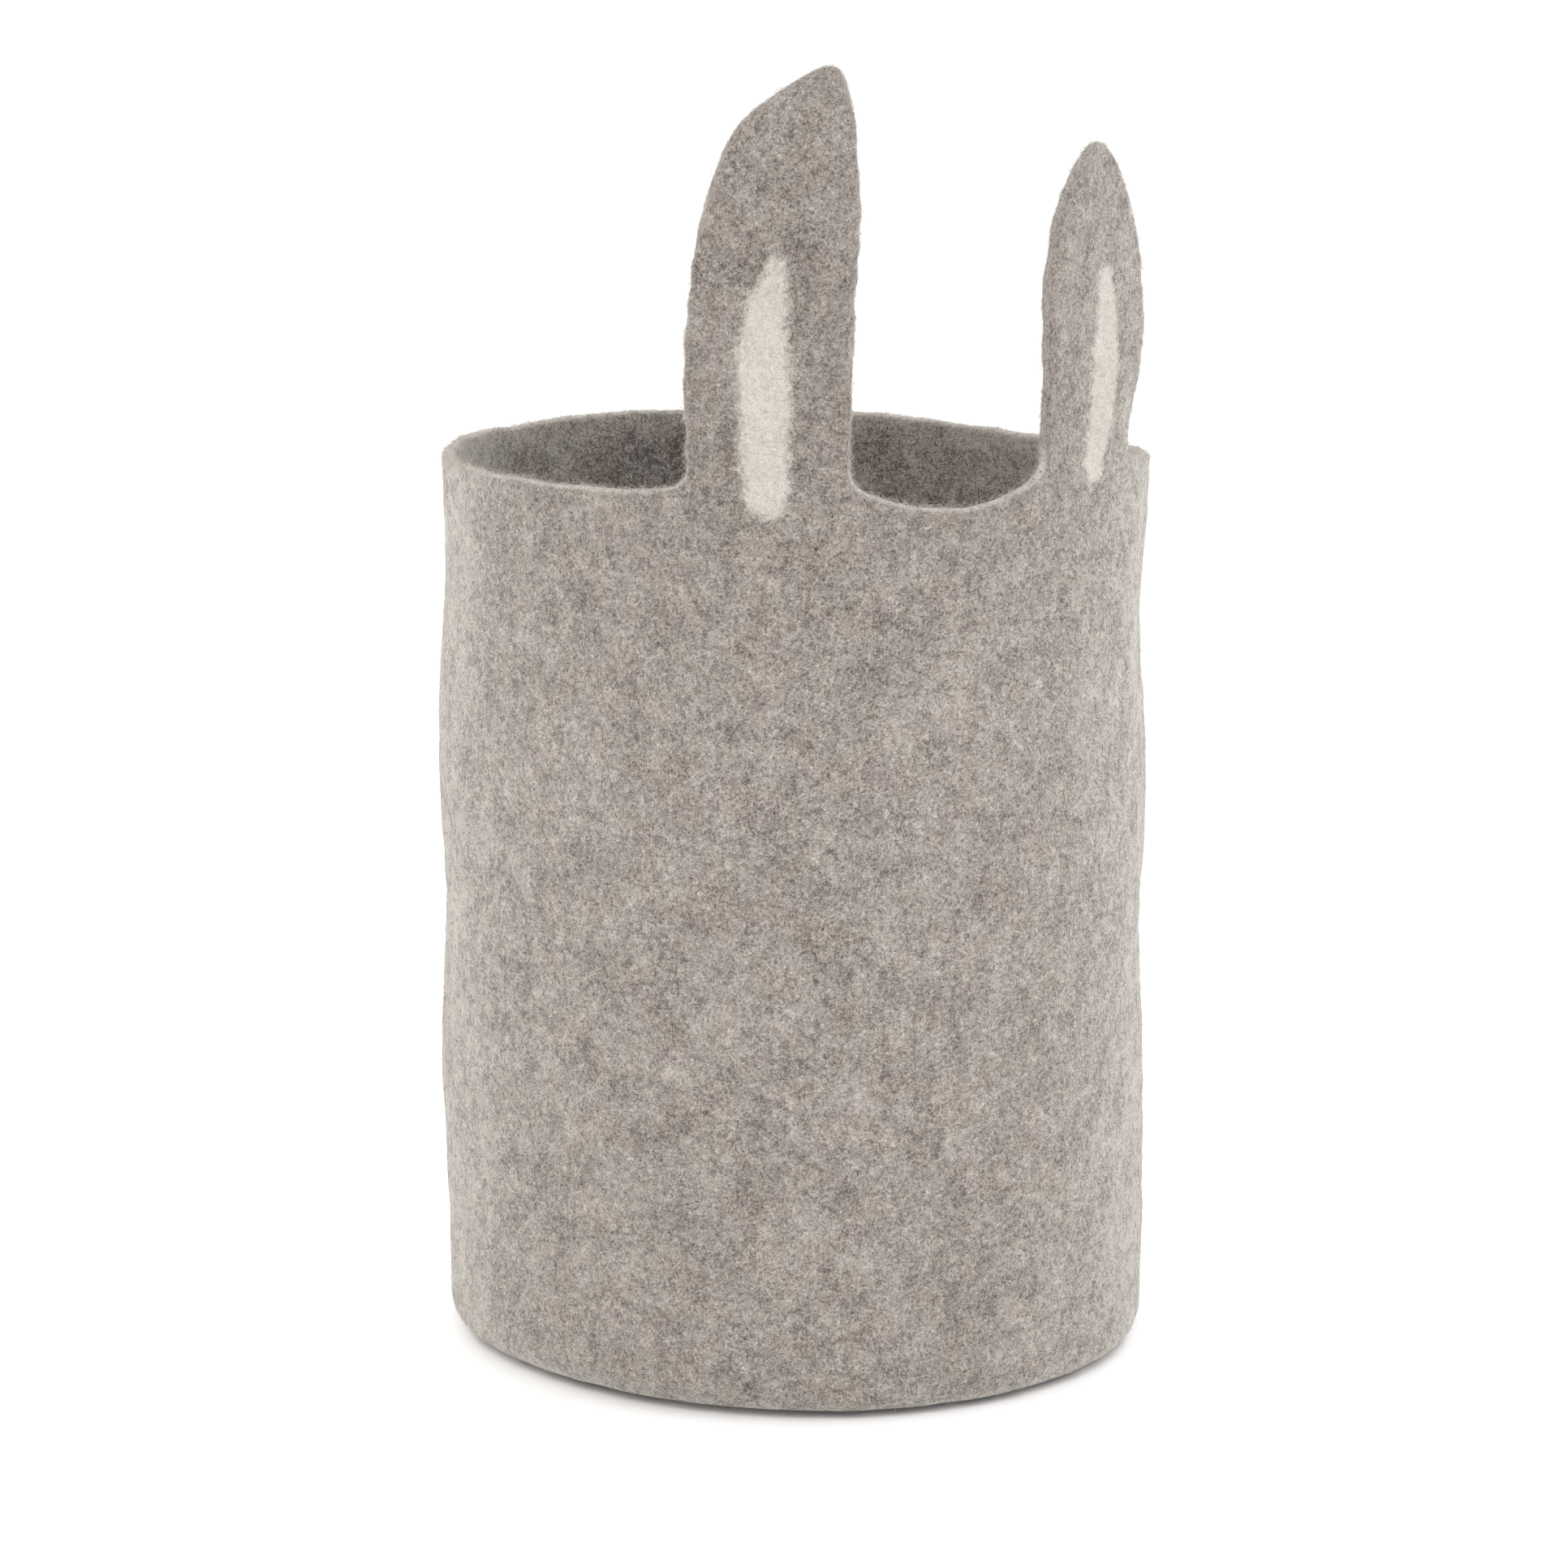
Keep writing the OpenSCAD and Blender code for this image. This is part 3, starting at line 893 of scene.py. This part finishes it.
# ---- Loose fibres ----
def tubes(name, line, radius, tone):
    """One mesh of thin three-sided tubes, one along each row of points of line."""
    count, rings = line.shape[:2]
    along = np.gradient(line, axis=1)
    along /= np.maximum(np.linalg.norm(along, axis=-1), 1e-9)[..., None]
    side = np.cross(along, np.array([0.31, 0.22, 0.92]))
    side /= np.maximum(np.linalg.norm(side, axis=-1), 1e-6)[..., None]
    other = np.cross(along, side)
    r = (radius[:, None] * (1 - 0.75 * np.linspace(0, 1, rings)[None] ** 3))[..., None]
    thirds = (0, 2 * math.pi / 3, 4 * math.pi / 3)
    corners = [line + r * (math.cos(q) * side + math.sin(q) * other) for q in thirds]
    ids = np.arange(count * rings * 3).reshape(count, rings, 3)
    faces = []
    for k in range(3):
        a, b, c, d = ids[:, :-1, k], ids[:, :-1, k - 2], ids[:, 1:, k - 2], ids[:, 1:, k]
        faces.append(np.stack([a.ravel(), b.ravel(), c.ravel(), d.ravel()], 1))
    ends = np.concatenate([ids[:, 0, ::-1], ids[:, -1, :]])
    tones = np.repeat(tone, rings * 3)
    points = np.stack(corners, 2).reshape(-1, 3)
    all_faces = np.vstack(faces).tolist() + ends.tolist()
    return make_object(name, points, all_faces, {"tone": tones}, material=fibre_look)


HAIR_RADIUS = (0.035, 0.075)


def fibres(
    name, count, start, place, length=(3, 9), radius=HAIR_RADIUS, lift=(0.05, 0.5), tone=(0.35, 1.0), steps=4
):
    """Thin curved fibres from start (u or s, z). place maps (u or s, z, height over the felt) to a point."""
    u0, z0 = start
    heading = rng.uniform(0, 2 * math.pi, count)
    size = rng.uniform(*length, count)
    turning = rng.normal(0, 1.1, count)
    raised = rng.uniform(*lift, count)
    t = np.linspace(0, 1, steps + 1)
    angle = heading[:, None] + turning[:, None] * (t[None] - 0.5) * 2
    angle = angle + rng.normal(0, 0.35, (count, steps + 1))
    step = size[:, None] / steps
    u = u0[:, None] + np.concatenate([np.zeros((count, 1)), np.cumsum(np.cos(angle[:, :-1]) * step, 1)], 1)
    z = z0[:, None] + np.concatenate([np.zeros((count, 1)), np.cumsum(np.sin(angle[:, :-1]) * step, 1)], 1)
    rise = -0.12 + raised[:, None] * np.sin(t[None] * math.pi * rng.uniform(0.55, 1.0, count)[:, None])
    return tubes(name, place(u, z, rise), rng.uniform(*radius, count), rng.uniform(*tone, count))


def on_wall(sign):
    """Maps a fibre's points onto the wall's outer (1) or inner (-1) face."""

    def place(u, z, rise):
        z = np.clip(z, 1.0, None)
        z = np.minimum(z, rim_height(wrapped(u)) - 0.3)
        return wall_point(u, z, sign * (half_thickness(u, z) + rise))

    return place


def ear_edges(side, z):
    """Left and right edge of an ear at height z."""
    left, right = EAR_LEFT_EDGE[side], EAR_RIGHT_EDGE[side]
    return np.interp(z, left[:, 1], left[:, 0]), np.interp(z, right[:, 1], right[:, 0])


def on_ear(side, sign):
    """Maps a fibre's points onto an ear's outer (1) or inner (-1) face."""

    def place(s, z, rise):
        z = np.maximum(z, SEAM_Z + 0.2)
        z = np.minimum(z, EAR_LEFT_EDGE[side][-1, 1] - 0.4)
        a, b = ear_edges(side, z)
        s = np.clip(s, a - 0.4, b + 0.4)
        return ear_point(side, s, z, sign * (half_thickness(s + EAR_U[side], z) + rise))

    return place


def wall_starts(count, low, high=386.0):
    u = rng.uniform(-TURN / 2, TURN / 2, count)
    z = rng.uniform(low, high, count)
    return u, np.minimum(z, rim_height(u) - rng.uniform(0.5, 6, count))


def ear_starts(side, count):
    z = rng.uniform(SEAM_Z + 2, EAR_LEFT_EDGE[side][-1, 1] - 2, count)
    a, b = ear_edges(side, z)
    return a + (b - a) * rng.uniform(0.02, 0.98, count), z


def edge_fuzz(name, count, stretch):
    """Short fibres that stand off the free edge, on one stretch of it: (u from, u to, ear or None)."""
    u_from, u_to, side = stretch
    steps = np.diff(EDGE, axis=0)
    length = np.hypot(steps[:, 0], steps[:, 1])
    middle = (EDGE[1:] + EDGE[:-1]) / 2
    on_this = (middle[:, 0] > u_from) & (middle[:, 0] < u_to)
    on_this &= (middle[:, 1] > SEAM_Z + 1) == (side is not None)
    share = np.where(on_this, length, 0)
    pick = rng.choice(len(steps), count, p=share / share.sum())
    along = steps[pick] / length[pick, None]
    start = EDGE[pick] + steps[pick] * rng.uniform(0, 1, count)[:, None]
    outward = np.stack([-along[:, 1], along[:, 0]], 1)
    t = np.linspace(0, 1, 4)[None]
    size = rng.uniform(1.0, 5.0, count)[:, None] * rng.choice([-1, 1], count)[:, None]
    turn = rng.uniform(-1.3, 1.3, count)[:, None] + rng.normal(0, 0.5, count)[:, None] * t
    stand = 0.1 + FUZZ_SPREAD * rng.uniform(0, 1, count) ** 2.5
    rise = ROUND_R - 0.1 + stand[:, None] * np.sin(t * rng.uniform(1.2, 2.9, count)[:, None])
    reach = rise * np.cos(turn) - ROUND_R
    at = start[:, None, :] + along[:, None, :] * (size * t)[..., None]
    at = at + outward[:, None, :] * reach[..., None]
    n = rise * np.sin(turn)
    u, z = at[..., 0], at[..., 1]
    line = wall_point(u, z, n) if side is None else ear_point(side, u - EAR_U[side], z, n)
    return tubes(name, line, rng.uniform(*HAIR_RADIUS, count), rng.uniform(0.6, 1.0, count))


WALL_HAIRS, WALL_LONG_HAIRS, HALO_HAIRS = 6600, 600, 5000
INSIDE_HAIRS, RIM_FUZZ, EAR_FUZZ = 3000, 8000, 3200
EAR_HAIRS = (("front", 1, 1500), ("back", -1, 900))
FUZZ_SPREAD = 2.4  # how far the longest fuzz stands off the edge


def wall_fibres(name, count, sign=1, low=4.0, **look):
    return fibres(name, count, wall_starts(count, low), on_wall(sign), **look)


loose = [
    wall_fibres("wall_loose_fibres", WALL_HAIRS, radius=(0.04, 0.09), tone=(0.1, 1.0)),
    wall_fibres(
        "wall_long_hairs", WALL_LONG_HAIRS,
        length=(7, 15), radius=(0.07, 0.11), lift=(0.1, 0.7), tone=(0.7, 1.0), steps=8,
    ),
    wall_fibres(
        "wall_halo", HALO_HAIRS,
        length=(4, 10), radius=(0.02, 0.045), lift=(0.5, 3.2), tone=(0.7, 1.0),
    ),
    wall_fibres("inside_loose_fibres", INSIDE_HAIRS, sign=-1, low=200.0, tone=(0.2, 0.8)),
    edge_fuzz("rim_fuzz", RIM_FUZZ, (-TURN / 2, TURN / 2, None)),
]
for obj in loose:
    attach(obj, "basket")
for side in ears:
    for tag, sign, count in EAR_HAIRS:
        hairs = fibres(f"ear_{side}_{tag}_fibres", count, ear_starts(side, count), on_ear(side, sign))
        over_fold(hairs)
    fuzz = edge_fuzz(f"ear_{side}_fuzz", EAR_FUZZ, (EAR_U[side] - 45, EAR_U[side] + 45, side))
    over_fold(fuzz)


# ---- Floor, light and camera, in metres ----
FLOOR_HALF, FLOOR_Z = 40.0, -0.0002
FLOOR_GLOW, FRONT_LIGHT, BACK_LIGHT, CEILING_LIGHT = 0.24, 0.56, 2.3, 1.1
CONTACT_SHADOW = 0.0034  # how far the thin shadow under the felt's edge reaches


def stage():
    mesh = bpy.data.meshes.new("floor")
    corners = [(x * FLOOR_HALF, y * FLOOR_HALF, FLOOR_Z) for x, y in ((-1, -1), (1, -1), (1, 1), (-1, 1))]
    mesh.from_pydata(corners, [], [(0, 1, 2, 3)])
    floor = bpy.data.objects.new("floor", mesh)
    bpy.context.scene.collection.objects.link(floor)
    n = Nodes("white_floor")
    n.put(n.shader.inputs["Base Color"], (0.93, 0.93, 0.93, 1))
    n.put(n.shader.inputs["Roughness"], 1.0)
    n.put(n.shader.inputs["Emission Color"], (1, 1, 1, 1))
    # Ambient occlusion cuts the floor's glow near the basket: a painted contact shadow on top of the real one
    open_sky = n.node("ShaderNodeAmbientOcclusion", {"Distance": CONTACT_SHADOW}, samples=8).outputs["AO"]
    glow = n.math("MULTIPLY", n.math("POWER", open_sky, 2.0), FLOOR_GLOW)
    n.put(n.shader.inputs["Emission Strength"], glow)
    mesh.materials.append(n.material)


def area_light(name, place, aim, size, power, colour):
    light = bpy.data.lights.new(name, "AREA")
    light.shape, light.size, light.energy, light.color = "SQUARE", size, power, colour
    obj = bpy.data.objects.new(name, light)
    obj.location = place
    obj.rotation_euler = (Vector(aim) - Vector(place)).to_track_quat("-Z", "Y").to_euler()
    bpy.context.scene.collection.objects.link(obj)


# The camera stands as in the picture: 25.2 degrees round from the front and above the rim, looking down
CAMERA_TURN, CAMERA_DISTANCE, CAMERA_HEIGHT = math.radians(25.2), 1.9806, 0.6145
CAMERA_DOWN, CAMERA_YAW, CAMERA_LENS = 10.79, -0.13, 107.49


def beside_camera(turn_deg, distance, height):
    """A place that many degrees round from the camera, at that distance from the basket's axis."""
    a = CAMERA_TURN + math.radians(turn_deg)
    return (-distance * math.sin(a), -distance * math.cos(a), height)


camera = bpy.data.objects.new("camera", bpy.data.cameras.new("camera"))
camera.data.lens, camera.data.sensor_width = CAMERA_LENS, 36.0
camera.location = beside_camera(0, CAMERA_DISTANCE, CAMERA_HEIGHT)
camera.rotation_euler = (math.radians(90 - CAMERA_DOWN), 0, -CAMERA_TURN - math.radians(CAMERA_YAW))
bpy.context.scene.collection.objects.link(camera)
bpy.context.scene.camera = camera


def studio_world():
    """Soft light from all round the horizon, strongest from behind, less from above, least from in front."""
    world = bpy.data.worlds.new("studio")
    world.use_nodes = True
    tree = world.node_tree

    def node(kind, *inputs, **settings):
        n = tree.nodes.new(kind)
        for key, value in settings.items():
            setattr(n, key, value)
        for socket, value in zip(n.inputs, inputs):
            if isinstance(value, bpy.types.NodeSocket):
                tree.links.new(value, socket)
            elif value is not None:
                socket.default_value = value
        return n

    direction = node("ShaderNodeTexCoord").outputs["Generated"]
    behind = (math.sin(CAMERA_TURN), math.cos(CAMERA_TURN), 0.0)
    facing = node("ShaderNodeVectorMath", direction, behind, operation="DOT_PRODUCT").outputs["Value"]
    level = node("ShaderNodeMapRange", facing, 0.0, 0.35, FRONT_LIGHT, BACK_LIGHT).outputs["Result"]
    height = node("ShaderNodeSeparateXYZ", direction).outputs["Z"]
    level = node("ShaderNodeMapRange", height, 0.15, 0.85, level, CEILING_LIGHT).outputs["Result"]
    tree.nodes["Background"].inputs["Color"].default_value = (1, 1, 1, 1)
    tree.links.new(level, tree.nodes["Background"].inputs["Strength"])
    bpy.context.scene.world = world


stage()
studio_world()
bpy.context.scene.view_settings.view_transform = "Standard"
area_light("key_left", beside_camera(70, 2.0, 1.2), (0, 0, 0.25), 1.2, 5, (1.0, 0.93, 0.80))
area_light("key_right", beside_camera(-70, 2.0, 1.2), (0, 0, 0.25), 1.2, 7, (0.97, 0.98, 1.0))
